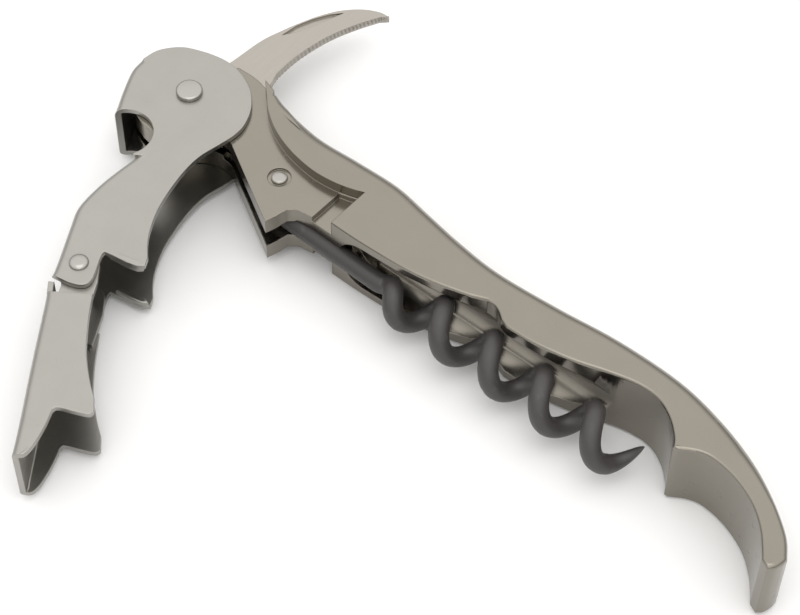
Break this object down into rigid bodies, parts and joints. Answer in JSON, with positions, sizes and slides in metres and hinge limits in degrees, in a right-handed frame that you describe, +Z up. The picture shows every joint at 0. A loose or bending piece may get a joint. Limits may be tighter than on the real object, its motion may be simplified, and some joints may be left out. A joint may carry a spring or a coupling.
{
  "type": "lever corkscrew",
  "caption": "Folding pocket corkscrew: cast handle, wire worm, two-stage channel lever with cap-opening mouth, and a serrated foil knife, all turning on rivets.",
  "frame": {"origin": "middle of the outline, on the surface that the corkscrew lies on", "axes": "+X along the handle from its head to its tail, +Y towards the handle's back, +Z up through its thickness"},
  "size_m": [0.1245, 0.0966, 0.0126],
  "materials": {
    "cast_handle": "polished dark nickel plating on die-cast metal",
    "stamped_steel": "satin stamped stainless sheet with bright sheared edges",
    "rivet_steel": "plain bright rivet steel",
    "coated_wire": "matte black non-stick coating on wire",
    "blade_steel": "satin ground blade steel"
  },
  "bodies": {
    "handle": {"handle_body": "cast_handle", "worm_pin": "rivet_steel"},
    "head_rivet": {"head_rivet": "rivet_steel"},
    "upper_lever": {"upper_lever": "stamped_steel"},
    "hinge_rivet": {"hinge_rivet": "rivet_steel"},
    "lower_lever": {"lower_lever": "stamped_steel"},
    "worm": {"worm": "coated_wire"},
    "knife": {"knife_blade": "blade_steel"}
  },
  "joints": [
    {"name": "lever_pivot", "type": "hinge", "parent": "handle", "child": "upper_lever", "pos_m": [-0.05225, 0.0136, 0.0063], "axis": [0, 0, -1], "range_deg": [-54, 58]},
    {"name": "lever_hinge", "type": "hinge", "parent": "upper_lever", "child": "lower_lever", "pos_m": [-0.04175, -0.0198, 0.0063], "axis": [0, 0, -1], "range_deg": [0, 92]},
    {"name": "worm_pivot", "type": "hinge", "parent": "handle", "child": "worm", "pos_m": [-0.03155, 0.011, 0.0063], "axis": [0, 0, -1], "range_deg": [-1.5, 74]},
    {"name": "knife_pivot", "type": "hinge", "parent": "handle", "child": "knife", "pos_m": [-0.05225, 0.0136, 0.0063], "axis": [0, 0, -1], "range_deg": [-60, 66]},
    {"name": "head_rivet_turn", "type": "hinge", "parent": "handle", "child": "head_rivet", "pos_m": [-0.05225, 0.0136, 0.0063], "axis": [0, 0, 1], "continuous": true},
    {"name": "hinge_rivet_turn", "type": "hinge", "parent": "upper_lever", "child": "hinge_rivet", "pos_m": [-0.04175, -0.0198, 0.0063], "axis": [0, 0, 1], "continuous": true}
  ]
}
